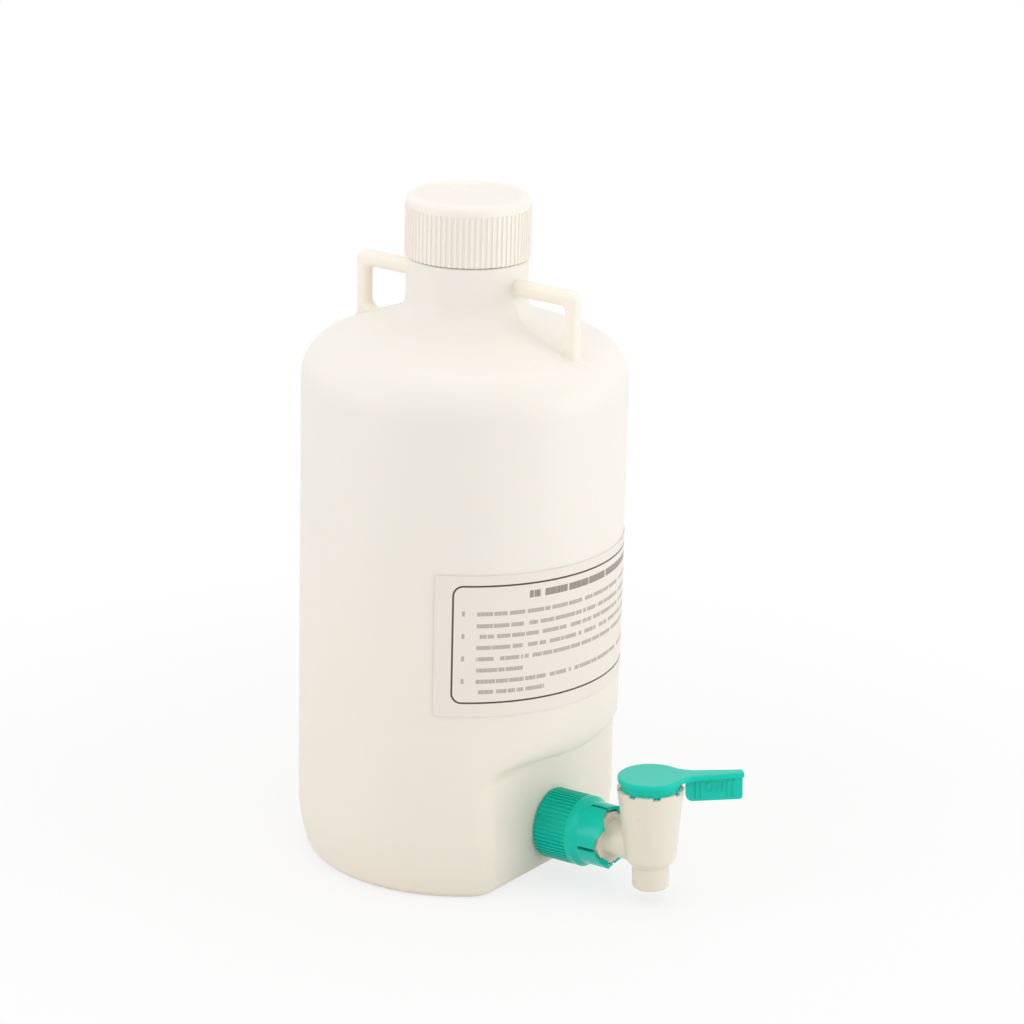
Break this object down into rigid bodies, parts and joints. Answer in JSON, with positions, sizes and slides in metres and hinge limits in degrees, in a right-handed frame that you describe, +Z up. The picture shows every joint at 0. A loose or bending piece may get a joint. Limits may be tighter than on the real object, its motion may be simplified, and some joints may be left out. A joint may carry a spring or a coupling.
{
  "type": "laboratory carboy with spigot",
  "caption": "Round blow-moulded carboy with two loop handles, ribbed screw cap, wrap label and a spigot whose lever key turns in a tapered cup.",
  "frame": {"origin": "centre of the base on the bench, on the bottle's axis", "axes": "+Z up along the bottle's axis, -Y towards the spigot, +X to the side that the lever points to at rest"},
  "size_m": [0.165, 0.2397, 0.3462],
  "materials": {
    "natural_plastic": "milky unpigmented blow-moulded polyethylene, satin",
    "label_film": "thin printed film label, satin",
    "white_plastic": "white moulded polypropylene, satin",
    "liner_foam": "soft sealing disc",
    "ivory_plastic": "ivory moulded polypropylene, satin",
    "gasket_rubber": "pale silicone",
    "green_plastic": "sea-green moulded polypropylene, semi-gloss"
  },
  "bodies": {
    "vessel": {"bottle": "natural_plastic", "label": "label_film"},
    "liner": {"cap_liner": "liner_foam"},
    "cap": {"screw_cap": "white_plastic"},
    "stopcock": {"stopcock_body": "ivory_plastic", "outlet_gasket": "gasket_rubber"},
    "nut": {"collar_nut": "green_plastic"},
    "key": {"valve_key": "green_plastic"}
  },
  "joints": [
    {"name": "cap_lift", "type": "slide", "parent": "vessel", "child": "liner", "axis": [0, 0, 1], "range_m": [0, 0.0271]},
    {"name": "cap_turn", "type": "hinge", "parent": "liner", "child": "cap", "pos_m": [0, 0, 0.33], "axis": [0, 0, 1], "range_deg": [0, 1620]},
    {"name": "spigot_slide", "type": "slide", "parent": "vessel", "child": "stopcock", "axis": [0, -0.999, 0.0436], "range_m": [0, 0.0141]},
    {"name": "nut_turn", "type": "hinge", "parent": "stopcock", "child": "nut", "pos_m": [0, -0.06185, 0.0263], "axis": [0, -0.999, 0.0436], "range_deg": [0, 1440]},
    {"name": "key_turn", "type": "hinge", "parent": "stopcock", "child": "key", "pos_m": [0, -0.12209, 0.02893], "axis": [0, 0.0436, 0.999], "range_deg": [-90, 0]}
  ],
  "couplings": [
    {"joint": "cap_lift", "follows": "cap_turn", "m_per_rad": 0.00095493},
    {"joint": "spigot_slide", "follows": "nut_turn", "m_per_rad": 0.00055704}
  ]
}
